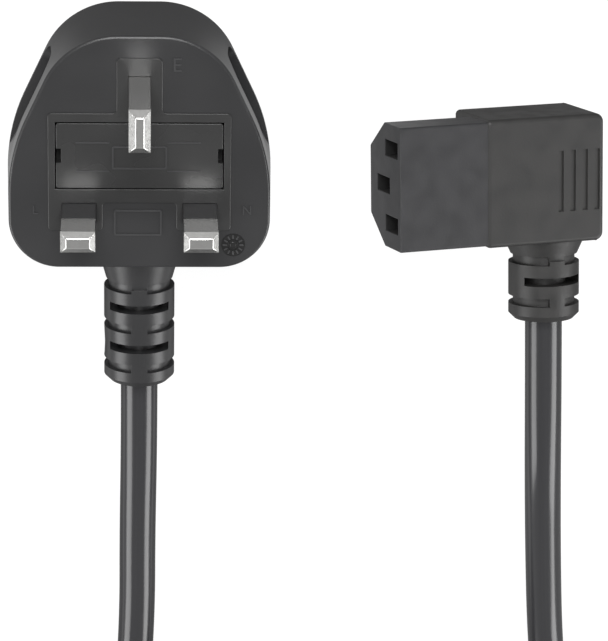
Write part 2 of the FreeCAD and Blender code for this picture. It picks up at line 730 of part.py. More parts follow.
fuse_tube = less("fuse_tube", fuse_layer("fuse_tube_outside", TUBE_RADIUS),
                 fuse_layer("fuse_tube_bore", BORE_RADIUS))
fuse_sand = less("fuse_sand", fuse_layer("fuse_sand_fill", BORE_RADIUS),
                 fuse_layer("fuse_sand_bore", "fuse_wire_radius"))
fuse_element = fuse_layer("fuse_element", "fuse_wire_radius")
fuse_caps = []
for end, start in (("line", "-fuse_length / 2"), ("supply", "fuse_length / 2 - fuse_cap_length")):
    cup = rod("fuse_cap_%s_outside" % end, "fuse_radius", "fuse_cap_length", (start, "0", FUSE_LEVEL), "x")
    inside = fuse_layer("fuse_cap_%s_inside" % end, TUBE_RADIUS)
    fuse_caps.append(less("fuse_cap_" + end, cup, inside))

# Cores of the lead inside the plug, from the relief's end to the crimps


def relief_length(neck, slots, last_ring):
    return size(neck) + (slots - 1) * size("relief_pitch") + size("relief_slot") + size(last_ring)


foot_lean = math.tan(math.radians(size("foot_draft")))
foot_wall = size("foot_reach") + (size("body_depth") - size("lead_axis_height")) * foot_lean
plug_end = -foot_wall - relief_length("relief_neck_length", PLUG_SLOTS, "relief_last_ring")
axis_z = size("lead_axis_height")
fan = size("wire_fan")
side = fan * math.cos(math.radians(30))
crimp_z = size("insert_back") - size("crimp_height") / 2
crimp_reach = size("crimp_length") / 2
pin_x = size("pin_line_gap") / 2
supply_x = size("fuse_length") / 2 - size("clip_inset") - size("clip_length") / 2

PLUG_WIRES = {
    "plug_earth_wire": [
        (-side, plug_end, axis_z - fan / 2),
        (-side, -foot_wall, axis_z - fan / 2),
        (-side, -foot_wall / 2, crimp_z),
        (0, 0, crimp_z),
        (0, pin_x - crimp_reach, crimp_z),
    ],
    "plug_live_wire": [
        (0, plug_end, axis_z + fan),
        (0, -foot_wall + fan, axis_z + fan),
        (supply_x * 0.2, -foot_wall * 0.6, crimp_z + fan / 2),
        (supply_x * 0.5, -foot_wall * 0.38, crimp_z),
        (supply_x - fan / 2, -crimp_reach - 2 * fan, crimp_z),
        (supply_x - fan / 2, -crimp_reach, crimp_z),
    ],
    "plug_neutral_wire": [
        (side, plug_end, axis_z - fan / 2),
        (side, -foot_wall + fan / 2, axis_z - fan / 2),
        (pin_x / 2, -foot_wall + 2.2 * fan, crimp_z),
        (pin_x, -foot_wall + 3 * fan, crimp_z),
        (pin_x, -pin_x - crimp_reach, crimp_z),
    ],
}
plug_wires = [plain_piece(label, core_along(points)) for label, points in PLUG_WIRES.items()]

# Overmould: body and relief in one, moulded round the insert, the crimps and the cores

plug_moulding = fused("plug_moulding", [gripped_shell, plug_relief])
plug_buried = [insert_block("insert_room"), supply_crimp, earth_crimp, neutral_crimp] + plug_wires
plug_overmould = less("plug_overmould", plug_moulding, fused("plug_hollow", plug_buried))

# Right-angled connector, made with its lead axis on Y and its nose towards -X

housing = new_body("socket_housing")
HALF_HIGH = "(housing_height / 2)"
HALF_THICK = "(housing_thick / 2)"
add_prism(housing, "Pad", "XY_Plane", "-" + HALF_THICK, "housing_thick",
          [rectangle("-housing_front", "housing_rear", "-" + HALF_HIGH, HALF_HIGH)])
ease(housing, "Fillet", "housing_rear_radius", lambda edge: along(edge, FreeCAD.Vector(0, 0, 1))
     and middle(edge).x > 0)
ease(housing, "Fillet", "housing_edge_radius", lambda edge: middle(edge).x < NEAR - size("housing_front")
     or abs(middle(edge).z) > size("housing_thick") / 2 - NEAR)
grooves = []
for number in range(THUMB_GROOVES):
    left = "(thumb_groove_first + %d * thumb_groove_pitch - thumb_groove_width / 2)" % number
    grooves.append(rectangle(left, left + " + thumb_groove_width",
                             "thumb_groove_middle - thumb_groove_length / 2",
                             "thumb_groove_middle + thumb_groove_length / 2"))
add_prism(housing, "Pocket", "XY_Plane", HALF_THICK, "thumb_groove_depth", grooves)
add_prism(housing, "Pocket", "XY_Plane", "-" + HALF_THICK, "thumb_groove_depth", grooves, back=True)

socket_relief = relief("socket_relief", "socket_neck_length", SOCKET_SLOTS, "socket_last_ring")
bind(socket_relief, {"Placement.Base.y": "-" + HALF_HIGH})

TIP = "(-housing_front - nose_length)"
NOSE_SIDE = "(nose_height / 2)"
NOSE_TOP = "(nose_thick / 2)"
NOSE_OUTLINE = [
    ("-" + NOSE_SIDE, NOSE_TOP),
    ("-" + NOSE_SIDE, "nose_chamfer_thick - " + NOSE_TOP),
    ("nose_chamfer_high - " + NOSE_SIDE, "-" + NOSE_TOP),
    (NOSE_SIDE + " - nose_chamfer_high", "-" + NOSE_TOP),
    (NOSE_SIDE, "nose_chamfer_thick - " + NOSE_TOP),
    (NOSE_SIDE, NOSE_TOP),
]


def nose_block(label):
    """The insert's outline, from its tip to its root inside the housing."""
    body = new_body(label)
    add_prism(body, "Pad", "YZ_Plane", TIP, "nose_length + nose_root", [NOSE_OUTLINE])
    ease(body, "Fillet", "nose_edge_radius", lambda edge: along(edge, FreeCAD.Vector(1, 0, 0)))
    return body


CONTACTS = {
    "line": ("slot_gap / 2", "slot_line_level"),
    "earth": ("0", "slot_earth_level"),
    "neutral": ("-slot_gap / 2", "slot_line_level"),
}
nose = nose_block("socket_nose")
slots = [rectangle("%s - slot_thick / 2" % across, "%s + slot_thick / 2" % across,
                   "%s - slot_wide / 2" % level, "%s + slot_wide / 2" % level)
         for across, level in CONTACTS.values()]
add_prism(nose, "Pocket", "YZ_Plane", TIP, "slot_depth", slots, back=True)

# Contacts: a folded box open towards the mouth of each slot, with a tail to its core

contacts = []
tails = []
CONTACT_START = "(%s + contact_setback)" % TIP
CONTACT_END = "(%s + contact_length)" % CONTACT_START
TAIL_END = "(%s + contact_tail_length)" % CONTACT_END
for name, (across, level) in CONTACTS.items():
    half_thick = "(slot_thick / 2 - contact_play)"
    half_wide = "(slot_wide / 2 - contact_play)"
    outside = block("contact_%s_outside" % name,
                    (CONTACT_START, "%s - %s" % (across, half_thick), "%s - %s" % (level, half_wide)),
                    (CONTACT_END, "%s + %s" % (across, half_thick), "%s + %s" % (level, half_wide)))
    inside = block("contact_%s_inside" % name,
                   ("%s - %s" % (CONTACT_START, OVERCUT), "%s - %s + contact_metal" % (across, half_thick),
                    "%s - %s + contact_metal" % (level, half_wide)),
                   ("%s - contact_metal" % CONTACT_END, "%s + %s - contact_metal" % (across, half_thick),
                    "%s + %s - contact_metal" % (level, half_wide)))
    tail = block("contact_%s_tail" % name,
                 (CONTACT_END, "%s - contact_metal / 2" % across, "%s - contact_tail_width / 2" % level),
                 (TAIL_END, "%s + contact_metal / 2" % across, "%s + contact_tail_width / 2" % level))
    box = less("contact_%s_box" % name, outside, inside)
    contacts.append(fused("connector_contact_" + name, [box, tail]))
    tails.append(tail)
connector_insert = less("connector_insert", nose, fused("connector_passages", tails))

tail_x = (size("contact_setback") + size("contact_length") + size("contact_tail_length")
          - size("housing_front") - size("nose_length"))
socket_relief_length = relief_length("socket_neck_length", SOCKET_SLOTS, "socket_last_ring")
socket_end = -size("housing_height") / 2 - socket_relief_length
slot_y = size("slot_gap") / 2
line_z = size("slot_line_level")
earth_z = size("slot_earth_level")
bend = 2 * fan
SOCKET_WIRES = {
    "connector_line_wire": [
        (side, socket_end, fan / 2),
        (side, slot_y - bend, fan / 2),
        (0, slot_y, line_z),
        (tail_x, slot_y, line_z),
    ],
    "connector_earth_wire": [
        (0, socket_end, -fan),
        (0, -bend, -fan),
        (-fan, 0, earth_z),
        (tail_x, 0, earth_z),
    ],
    "connector_neutral_wire": [
        (-side, socket_end, fan / 2),
        (-side, -slot_y - bend, fan / 2),
        (-side - fan / 2, -slot_y, line_z),
        (tail_x, -slot_y, line_z),
    ],
}
tilt = FreeCAD.Rotation(FreeCAD.Vector(0, 0, 1), size("socket_turn"))
tilt = tilt.multiply(FreeCAD.Rotation(FreeCAD.Vector(1, 0, 0), size("socket_pitch")))
tilt = tilt.multiply(FreeCAD.Rotation(FreeCAD.Vector(0, 1, 0), size("socket_roll")))
socket_place = FreeCAD.Placement(FreeCAD.Vector(size("socket_x"), size("socket_y"), size("socket_z")), tilt)
socket_wires = []
wire_rooms = []
for label, points in SOCKET_WIRES.items():
    shape = core_along(points)
    wire_rooms.append(plain_piece(label + "_room", shape))
    socket_wires.append(plain_piece(label, shape, socket_place))
connector_overmould = less("connector_overmould", fused("socket_moulding", [housing, socket_relief]),
                           fused("socket_hollow", [nose_block("nose_room")] + tails + wire_rooms))
doc.recompute()
for piece in [connector_overmould, connector_insert] + contacts + socket_wires:
    piece.Placement = socket_place
    for name in "xyz":
        bind(piece, {"Placement.Base." + name: "socket_" + name})

# Lead: a tube from each relief, and the outer shape of the coil between them

lead_radius = size("lead_radius")
socket_exit = socket_place.multVec(FreeCAD.Vector(0, socket_end, 0))
socket_heading = tilt.multVec(FreeCAD.Vector(0, -1, 0))
socket_second = socket_exit + socket_heading * size("socket_straight")
LEAD_ROUTES = {
    "lead_at_plug": [
        (0, plug_end, axis_z),
        (0, -61, 10.25),
        (0.3, -80, 7.4),
        (0.1, -100, 4.0),
        (-1.6, -120, 3.55),
        (-7.2, -137, 3.6),
        (-9.9, -148, 3.5),
    ],
    "lead_at_connector": [
        tuple(socket_exit),
        tuple(socket_second),
        (77.2, -64, 16.0),
        (78.4, -83, 10.4),
        (80.2, -103, 5.0),
        (82.3, -117, 3.9),
        (84.0, -130, 6.3),
        (85.2, -143.5, 10.9),
        (86.0, -158, 11.3),
    ],
}
leads = []
for label, points in LEAD_ROUTES.items():
    shape = tube_along(points, lead_radius)
    leads.append(plain_piece(label, shape))
    path, radii = rounded_path(points)
    plain_volume = math.pi * lead_radius ** 2 * path.Length
    print(label, "arc radii", [round(radius, 1) for radius in radii], "length", round(path.Length, 1),
          "volume over section times length", round(shape.Volume / plain_volume, 4))

coil = new_body("lead_coil")
coil_sketch = new_sketch(coil, "XZ_Plane", "0")
COIL_IN = "(coil_mid_radius - coil_lanes * lead_radius)"
COIL_OUT = "(coil_mid_radius + coil_lanes * lead_radius)"
COIL_HIGH = "(4 * lead_radius)"
draw_ring(coil_sketch, [
    (COIL_IN + " + coil_corner_radius", "0"),
    (COIL_OUT + " - coil_corner_radius", "0"),
    (COIL_OUT, "coil_corner_radius"),
    (COIL_OUT, "lead_radius + coil_corner_radius / 2"),
    (COIL_OUT + " - lead_radius", COIL_HIGH),
    (COIL_IN + " + lead_radius", COIL_HIGH),
    (COIL_IN, "lead_radius + coil_corner_radius / 2"),
    (COIL_IN, "coil_corner_radius"),
])
ring = coil.newObject("PartDesign::Revolution", "ring")
ring.Profile = coil_sketch
ring.ReferenceAxis = (coil_sketch, ["V_Axis"])
ring.Angle = 360
bind(coil, {"Placement.Base.x": "coil_centre_x", "Placement.Base.y": "coil_centre_y"})
doc.recompute()

PIECES = [
    plug_overmould, pin_carrier, line_clip, supply_clip, earth_crimp, neutral_crimp,
    fuse_carrier, fuse_tube, fuse_sand, fuse_element, connector_overmould, connector_insert, coil,
] + pins + sleeves + fuse_caps + plug_wires + contacts + socket_wires + leads

for item in doc.Objects:
    if "Invalid" in item.State or "Error" in item.State:
        raise SystemExit("%s failed: %s" % (item.Label, item.State))
for piece in PIECES:
    if piece.Shape.isNull() or not piece.Shape.isValid() or not piece.Shape.Solids:
        raise SystemExit("%s has no valid solid" % piece.Label)

os.makedirs("parts", exist_ok=True)
for piece in PIECES:
    piece.Shape.exportStep("parts/%s.step" % piece.Label)
    print(piece.Label, len(piece.Shape.Solids), "solid", round(piece.Shape.Volume, 2), "cubic mm")
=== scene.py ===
# %% [markdown]
# # A fused three pin plug and its lead
# The plug lies on its back with its pins up. Its lead runs away from the camera's
# view, is wound into a coil for storage, and comes back to a right-angled appliance
# connector. The construction is already packed as a model, so this script loads it
# and gives it its looks: smooth skins, moulded marks, the lead, finishes and light.

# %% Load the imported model
import bmesh
import bpy
import math
from mathutils import Matrix, Vector


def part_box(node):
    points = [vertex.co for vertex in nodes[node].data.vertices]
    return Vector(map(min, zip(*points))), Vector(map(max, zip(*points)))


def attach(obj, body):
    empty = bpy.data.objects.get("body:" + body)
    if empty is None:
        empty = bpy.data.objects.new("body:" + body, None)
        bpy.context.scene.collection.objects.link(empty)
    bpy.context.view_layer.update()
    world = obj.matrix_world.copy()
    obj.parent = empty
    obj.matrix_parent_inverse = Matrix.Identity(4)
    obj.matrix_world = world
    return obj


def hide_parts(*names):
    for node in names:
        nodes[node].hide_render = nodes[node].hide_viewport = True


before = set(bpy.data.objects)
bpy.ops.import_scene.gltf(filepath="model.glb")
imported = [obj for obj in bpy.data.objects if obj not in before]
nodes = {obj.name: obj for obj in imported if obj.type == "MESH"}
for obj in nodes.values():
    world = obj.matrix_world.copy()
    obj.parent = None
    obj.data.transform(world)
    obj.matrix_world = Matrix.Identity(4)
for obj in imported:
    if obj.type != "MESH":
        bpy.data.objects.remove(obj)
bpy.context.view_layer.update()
MM = 0.001

# %% [markdown]
# ## Camera
# The view was worked out from the pins, whose sizes are standard. The camera stands
# over the plug's upper edge and looks down with a long lens, so the pins lean only a
# little. The lens follows from the distance in pixels at which the pins fit best.

# %% Camera
IMAGE_HEIGHT = 641
FOCAL_PIXELS = 3542.5
SENSOR_MM = 36.0
CAMERA_PLACE = Vector((-0.81, 190.32, 643.32)) * MM
LOOK = Vector((0.04766, -0.33589, -0.94069))
UPWARD = Vector((-0.00084, 0.94175, -0.33631))

camera_data = bpy.data.cameras.new("studio_camera")
camera_data.sensor_width = SENSOR_MM
camera_data.lens = FOCAL_PIXELS * SENSOR_MM / IMAGE_HEIGHT
camera = bpy.data.objects.new("studio_camera", camera_data)
bpy.context.scene.collection.objects.link(camera)
side = LOOK.cross(UPWARD).normalized()
turn = Matrix((side, UPWARD.normalized(), -LOOK.normalized())).transposed()
camera.matrix_world = Matrix.Translation(CAMERA_PLACE) @ turn.to_4x4()
bpy.context.scene.camera = camera
print("lens", round(camera_data.lens, 1), "mm")

# %% [markdown]
# ## Colours and shader nodes
# Colours are chosen as the hex values that a screen shows. A shader works in linear
# light, so one function turns a hex value to linear numbers, and one more adds a
# node. The others are the few steps that all the finishes here are made of.

# %% Colour and node helpers
def linear(hex_value, alpha=1.0):
    """An sRGB hex colour as linear numbers."""
    channels = [int(hex_value[k:k + 2], 16) / 255 for k in (1, 3, 5)]
    return [c / 12.92 if c <= 0.04045 else ((c + 0.055) / 1.055) ** 2.4 for c in channels] + [alpha]


def add_node(tree, kind, values=None, links=None, **settings):
    """Adds a node with its settings, its socket values and the links into it."""
    node = tree.nodes.new(kind)
    for name, value in settings.items():
        setattr(node, name, value)
    for socket, value in (values or {}).items():
        node.inputs[socket].default_value = value
    for socket, source in (links or {}).items():
        tree.links.new(source, node.inputs[socket])
    return node


def noise(tree, place, scale, detail, roughness=0.5):
    """A noise over the places that another node gives."""
    node = add_node(tree, "ShaderNodeTexNoise", {"Scale": scale, "Detail": detail, "Roughness": roughness},
                    {"Vector": place})
    return node.outputs["Fac"]


def mixed_colour(tree, factor, deep, pale):
    """A colour between two hex colours."""
    node = add_node(tree, "ShaderNodeMix", {"A": linear(deep), "B": linear(pale)}, {"Factor": factor},
                    data_type="RGBA")
    return node.outputs["Result"]


def ramp(tree, value, reach, levels, smooth=False):
    """Spreads a value's reach over two levels, and holds them beyond it."""
    node = add_node(tree, "ShaderNodeMapRange",
                    {"From Min": reach[0], "From Max": reach[1], "To Min": levels[0], "To Max": levels[1]},
                    {"Value": value}, interpolation_type="SMOOTHSTEP" if smooth else "LINEAR")
    return node.outputs["Result"]


def maths(tree, operation, *terms):
    """One step of arithmetic, whose terms are numbers or the outputs of other nodes."""
    node = add_node(tree, "ShaderNodeMath", operation=operation)
    for socket, term in zip(node.inputs, terms):
        if isinstance(term, float):
            socket.default_value = term
        else:
            tree.links.new(term, socket)
    return node.outputs[0]


def rays(tree):
    """Which rays are the camera's own, and which come by way of metal or glass."""
    path = add_node(tree, "ShaderNodeLightPath").outputs
    return path["Is Camera Ray"], maths(tree, "MAXIMUM", path["Is Glossy Ray"], path["Is Transmission Ray"])


# %% Helpers for a finish
def new_finish(name):
    """A material with its node tree and its surface shader."""
    material = bpy.data.materials.new(name)
    material.use_nodes = True
    tree = material.node_tree
    return material, tree, tree.nodes["Principled BSDF"]


def join_surface(tree, shader, colour, gloss, height, depth_mm):
    """Gives a shader its colour, its roughness and a bump of a depth in millimetres."""
    bump = add_node(tree, "ShaderNodeBump", {"Strength": 1.0, "Distance": depth_mm * MM}, {"Height": height})
    tree.links.new(colour, shader.inputs["Base Color"])
    tree.links.new(gloss, shader.inputs["Roughness"])
    tree.links.new(bump.outputs["Normal"], shader.inputs["Normal"])


# %% [markdown]
# ## Moulded plastics
# The overmould is plasticised PVC, and the insert, the fuse carrier and the pin
# sleeves are nylon. All are black, but each comes out of a mould whose steel was
# spark eroded, which leaves a fine pebble on the surface. A noise of the pebble's
# size drives the bump. A much larger noise moves colour and gloss a little, the way
# a moulding shows where the melt flowed. Real grain is near 0.05 mm, too fine for
# the picture, so it is drawn several times coarser.

# %% Moulded plastic finishes
CLOUD_REACH = (0.2, 0.8)        # the part of the cloud's noise that moves the gloss
PLASTIC_IOR = 1.5


def moulded_plastic(name, deep, pale, rough_low, rough_high, cloud_mm, grain_mm, grain_depth_mm):
    """A moulded plastic with cloudy colour and a spark-eroded pebble."""
    material, tree, shader = new_finish(name)
    place = add_node(tree, "ShaderNodeTexCoord").outputs["Object"]
    cloud = noise(tree, place, 1 / (cloud_mm * MM), detail=1.0, roughness=0.4)
    grain = noise(tree, place, 1 / (grain_mm * MM), detail=2.0)
    tint = mixed_colour(tree, cloud, deep, pale)
    gloss = ramp(tree, cloud, CLOUD_REACH, (rough_low, rough_high), smooth=True)
    join_surface(tree, shader, tint, gloss, grain, grain_depth_mm)
    shader.inputs["IOR"].default_value = PLASTIC_IOR
    return material


overmould_pvc = moulded_plastic("satin_moulded_pvc", "#262627", "#2e2e2f", 0.3, 0.38, 12.0, 0.35, 0.007)
insert_nylon = moulded_plastic("moulded_nylon_insert", "#272727", "#2f2f2f", 0.34, 0.4, 8.0, 0.3, 0.005)
carrier_nylon = moulded_plastic("moulded_nylon_carrier", "#2a2a2a", "#323232", 0.25, 0.3, 8.0, 0.3, 0.006)
sleeve_nylon = moulded_plastic("smooth_nylon_sleeve", "#2e2e2f", "#363637", 0.34, 0.42, 5.0, 0.25, 0.003)
# painted sheen: the raised marks are coloured lighter than the face, for the light that their tops catch
mark_painted_sheen_pvc = moulded_plastic("painted_sheen_mould_mark", "#353536", "#3b3b3c", 0.3, 0.36, 3.0, 0.3, 0.003)
# painted shade: a near-black colour for the walls and floors of deep notches and slots, where shade falls
painted_shade_recess_pvc = moulded_plastic("painted_shade_recess_wall", "#060606", "#0b0b0b", 0.8, 0.9, 3.0, 0.4, 0.012)
connector_pvc = moulded_plastic("fine_moulded_pvc", "#1b1b1b", "#2b2a29", 0.44, 0.56, 3.5, 0.4, 0.014)
nose_pvc = moulded_plastic("moulded_nose_pvc", "#1d1d1f", "#2d2d2f", 0.42, 0.52, 3.5, 0.4, 0.014)

# %% [markdown]
# ## Nickel plated pins
# The pins are brass bars, cropped, tumbled and plated with nickel. Plating keeps the
# fine lines of the drawn bar, which run along the pin, so a noise stretched along Z
# moves the colour, the roughness and a very shallow bump.

# %% Metal finishes
LINE_REACH = (0.3, 0.7)         # the part of the lines' noise that moves the gloss


def plated_metal(name, deep, pale, rough_low, rough_high, line_mm, stretch, line_depth_mm):
    """A plated metal with fine lines along the Z axis."""
    material, tree, shader = new_finish(name)
    place = add_node(tree, "ShaderNodeTexCoord").outputs["Object"]
    scale = 1 / (line_mm * MM)
    lines = add_node(tree, "ShaderNodeMapping", {"Scale": (scale, scale, scale / stretch)}, {"Vector": place})
    drawn = noise(tree, lines.outputs["Vector"], 1.0, detail=3.0)
    tint = mixed_colour(tree, drawn, deep, pale)
    gloss = ramp(tree, drawn, LINE_REACH, (rough_low, rough_high))
    join_surface(tree, shader, tint, gloss, drawn, line_depth_mm)
    shader.inputs["Metallic"].default_value = 1.0
    return material


pin_nickel = plated_metal("nickel_plated_brass", "#cfcecc", "#d8d8d6", 0.17, 0.21, 0.6, 40, 0.0003)
cap_nickel = plated_metal("nickel_plated_fuse_cap", "#c9c8c4", "#dad9d5", 0.2, 0.32, 0.3, 3, 0.003)
clip_bronze = plated_metal("rolled_phosphor_bronze", "#a9713f", "#bd8650", 0.3, 0.42, 0.3, 12, 0.004)
element_silver = plated_metal("drawn_silvered_wire", "#c4c4c4", "#d8d8d8", 0.2, 0.3, 0.05, 8, 0.001)

# %% [markdown]
# ## Sheath, cores and the fuse's own materials
# A lead's sheath is extruded, not moulded, so it is smoother and glossier than the
# plug and has faint lines along its length. Those lines follow the cord's own UV
# map, because the cord bends. The coloured cores, the glazed ceramic tube and the
# sand in it are seen only when the plug is open, but they have their finish too.

# %% Extruded sheath
SHEATH_LINE_MM = 0.6            # width of one line
SHEATH_RUN_MM = 60              # length over which a line fades into the next
SHEATH_DEPTH_MM = 0.004
SHEATH_GLOSS = (0.16, 0.22)
SHEATH_IOR = 1.52


def extruded_sheath(name, deep, pale, length_m, around_m):
    """A glossy extruded plastic, with faint lines along the cord's UV map."""
    material, tree, shader = new_finish(name)
    place = add_node(tree, "ShaderNodeTexCoord").outputs["UV"]
    along = length_m / (SHEATH_RUN_MM * MM)
    across = around_m / (SHEATH_LINE_MM * MM)
    lines = add_node(tree, "ShaderNodeMapping", {"Scale": (along, across, 1.0)}, {"Vector": place})
    drawn = noise(tree, lines.outputs["Vector"], 1.0, detail=2.0)
    tint = mixed_colour(tree, drawn, deep, pale)
    gloss = ramp(tree, drawn, LINE_REACH, SHEATH_GLOSS)
    join_surface(tree, shader, tint, gloss, drawn, SHEATH_DEPTH_MM)
    shader.inputs["IOR"].default_value = SHEATH_IOR
    return material


# %% Cores and fuse
core_brown = moulded_plastic("brown_core_pvc", "#5a2f1a", "#683a22", 0.3, 0.4, 2.0, 0.2, 0.003)
core_blue = moulded_plastic("blue_core_pvc", "#1e4f9c", "#2a5fb0", 0.3, 0.4, 2.0, 0.2, 0.003)
core_green = moulded_plastic("green_yellow_core_pvc", "#5f8a1c", "#c9c21f", 0.3, 0.4, 1.2, 0.2, 0.003)
fuse_ceramic = moulded_plastic("glazed_ceramic", "#ded8c8", "#ebe6d8", 0.14, 0.22, 3.0, 0.3, 0.002)
fuse_sand = moulded_plastic("quartz_sand", "#b8a98c", "#d6cab0", 0.7, 0.9, 0.6, 0.25, 0.08)

# %% [markdown]
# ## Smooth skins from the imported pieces
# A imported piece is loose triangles, which shade as flats. A merged copy can be shaded
# smoothly: flat triangles are dissolved, edges sharper than a limit stay sharp, a
# narrow bevel catches the light on them as a moulded edge does, and weighted normals
# keep the large flats flat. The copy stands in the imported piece's place.

# %% Skin helper
SHARP_ANGLE = math.radians(28)
FLAT_ANGLE = math.radians(0.4)
MERGE_DISTANCE = 0.002 * MM
SLIVER_DISTANCE = 0.0002 * MM


def give(piece, material):
    """Makes a material the only one of a piece."""
    piece.data.materials.clear()
    piece.data.materials.append(material)


def skin(node, name, body, material, edge_mm):
    """A smooth-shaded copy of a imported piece, with narrow rounded edges."""
    form = bmesh.new()
    form.from_mesh(nodes[node].data)
    bmesh.ops.remove_doubles(form, verts=form.verts, dist=MERGE_DISTANCE)
    bmesh.ops.dissolve_degenerate(form, edges=form.edges, dist=SLIVER_DISTANCE)
    bmesh.ops.dissolve_limit(form, angle_limit=FLAT_ANGLE, verts=form.verts, edges=form.edges)
    for face in form.faces:
        face.smooth = True
    for edge in form.edges:
        edge.smooth = len(edge.link_faces) == 2 and edge.calc_face_angle() < SHARP_ANGLE
    mesh = bpy.data.meshes.new(name)
    form.to_mesh(mesh)
    form.free()
    piece = bpy.data.objects.new(name, mesh)
    bpy.context.scene.collection.objects.link(piece)
    give(piece, material)
    rounding = piece.modifiers.new("edge", "BEVEL")
    rounding.width = edge_mm * MM
    rounding.segments = 2
    rounding.limit_method = "ANGLE"
    rounding.angle_limit = SHARP_ANGLE
    weighting = piece.modifiers.new("flats", "WEIGHTED_NORMAL")
    weighting.keep_sharp = True
    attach(piece, body)
    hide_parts(node)
    print("skin", name, len(mesh.polygons), "faces")
    return piece


# %% [markdown]
# ## The skins
# Each moulding, pin and sleeve gets a skin. The last number is the width of its
# rounded edges in millimetres. The connector's nose has the widest, because it is
# made to slide into an inlet.

# %% Skins
skin("plug_overmould", "overmould_skin", "plug", overmould_pvc, 0.12)
skin("pin_carrier", "insert_skin", "plug", insert_nylon, 0.15)
carrier = skin("fuse_carrier", "carrier_skin", "fuse_carrier", carrier_nylon, 0.15)
for pin in ("earth_pin", "line_pin", "neutral_pin"):
    skin(pin, pin + "_skin", "plug", pin_nickel, 0.12)
for pin in ("line_pin", "neutral_pin"):
    skin(pin + "_sleeve", pin + "_sleeve_skin", "plug", sleeve_nylon, 0.12)
housing = skin("connector_overmould", "connector_skin", "plug", connector_pvc, 0.12)
nose = skin("connector_insert", "nose_skin", "plug", nose_pvc, 0.3)

# %% [markdown]
# ## Shallow thumb grooves
# In the picture the grooves on the connector's sides are shallow and catch light. The
# skin's groove floors are raised to that depth. The housing's own turns bring its
# points back to a frame in which its sides are level.

# %% Shallow thumb grooves
HOUSING_PLACE = Vector((75.6, -5.75, 12.23)) * MM
HOUSING_TURNS = (("Z", 1.29), ("X", -8.0), ("Y", 16.97))
HOUSING_HALF = 8.15 * MM
GROOVE_CUT = 0.7 * MM
GROOVE_DEPTH = 0.32 * MM
GROOVE_REACH = (-0.6 * MM, 8.0 * MM)
NEAR = 0.02 * MM                # how close a point lies to a surface that it is on

housing_frame = Matrix.Translation(HOUSING_PLACE)
for axis, degrees in HOUSING_TURNS:
    housing_frame = housing_frame @ Matrix.Rotation(math.radians(degrees), 4, axis)
to_level = housing_frame.inverted()
raised = 0
for vertex in housing.data.vertices:
    spot = to_level @ vertex.co
    cut = HOUSING_HALF - abs(spot.z)
    if abs(cut - GROOVE_CUT) < NEAR and GROOVE_REACH[0] < spot.x < GROOVE_REACH[1]:
        spot.z += math.copysign(GROOVE_CUT - GROOVE_DEPTH, spot.z)
        vertex.co = housing_frame @ spot
        raised += 1
print("groove points raised", raised)

# %% [markdown]
# ## Deep recesses
# The prising notches in the fuse carrier and the slots in the connector's nose are deep. The skin's notch
# floors go nearly through the plate, and the walls and floors of both are painted near black, a painted shade
# for the dark of their depth.

# %% Deep recesses
NOTCH_WIDTH = 0.9 * MM
NOTCH_HEIGHT = 2.7 * MM
NOTCH_DEPTH = 1.3 * MM
NOTCH_DEEPER = 0.9 * MM
PLATE_END, _, PLATE_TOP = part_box("fuse_carrier")[1]
SLOT_CENTRES = [(7.0, 3.1), (0.0, -1.0), (-7.0, 3.1)]
SLOT_WIDTH = 3.0 * MM
SLOT_HEIGHT = 6.2 * MM
SLOT_MARGIN = 0.05 * MM
NOSE_END = -31.67 * MM


def in_notch(spot):
    """Whether a spot is on a wall or on the floor of a prising notch."""
    return (PLATE_END - NOTCH_WIDTH - NEAR < abs(spot.x) < PLATE_END - NEAR
            and abs(spot.y) < NOTCH_HEIGHT / 2 + NEAR
            and PLATE_TOP - NOTCH_DEPTH - NOTCH_DEEPER - NEAR < spot.z < PLATE_TOP - NEAR)


def in_slot(spot):
    """Whether a spot is inside the nose, on a wall of one of its slots."""
    spot = to_level @ spot
    return spot.x > NOSE_END + SLOT_MARGIN and any(
        abs(spot.y - across * MM) < SLOT_WIDTH / 2 + SLOT_MARGIN
        and abs(spot.z - high * MM) < SLOT_HEIGHT / 2 + SLOT_MARGIN for across, high in SLOT_CENTRES)


def paint_recess_shade(piece, inside):
    """Paints near-black shade on the faces whose middle passes a test."""
    piece.data.materials.append(painted_shade_recess_pvc)
    for face in piece.data.polygons:
        if inside(face.center):
            face.material_index = 1
    print(piece.name, "matt faces", sum(face.material_index for face in piece.data.polygons))


for vertex in carrier.data.vertices:
    above = vertex.co.z - (PLATE_TOP - NOTCH_DEPTH)
    if abs(above) < NEAR and abs(vertex.co.x) > PLATE_END - NOTCH_WIDTH - NEAR:
        vertex.co.z -= NOTCH_DEEPER
# painted shade on the notch walls and floors, and on the slot walls
paint_recess_shade(carrier, in_notch)
paint_recess_shade(nose, in_slot)

# %% [markdown]
# ## Pieces that keep their packed form
# The clips, crimps, contacts, cores and the fuse lie inside the mouldings. Their
# packed form is fine enough there, so they only get a finish.

# %% Finishes of the inner pieces
CONTACTS = ["connector_contact_line", "connector_contact_earth", "connector_contact_neutral"]
PLAIN_FINISHES = {
    clip_bronze: ["line_fuse_clip", "supply_fuse_clip", "earth_crimp", "neutral_crimp"] + CONTACTS,
    cap_nickel: ["fuse_cap_line", "fuse_cap_supply"],
    fuse_ceramic: ["fuse_tube"],
    fuse_sand: ["fuse_sand"],
    element_silver: ["fuse_element"],
    core_brown: ["plug_live_wire", "connector_line_wire"],
    core_blue: ["plug_neutral_wire", "connector_neutral_wire"],
    core_green: ["plug_earth_wire", "connector_earth_wire"],
}
for material, names in PLAIN_FINISHES.items():
    for name in names:
        give(nodes[name], material)

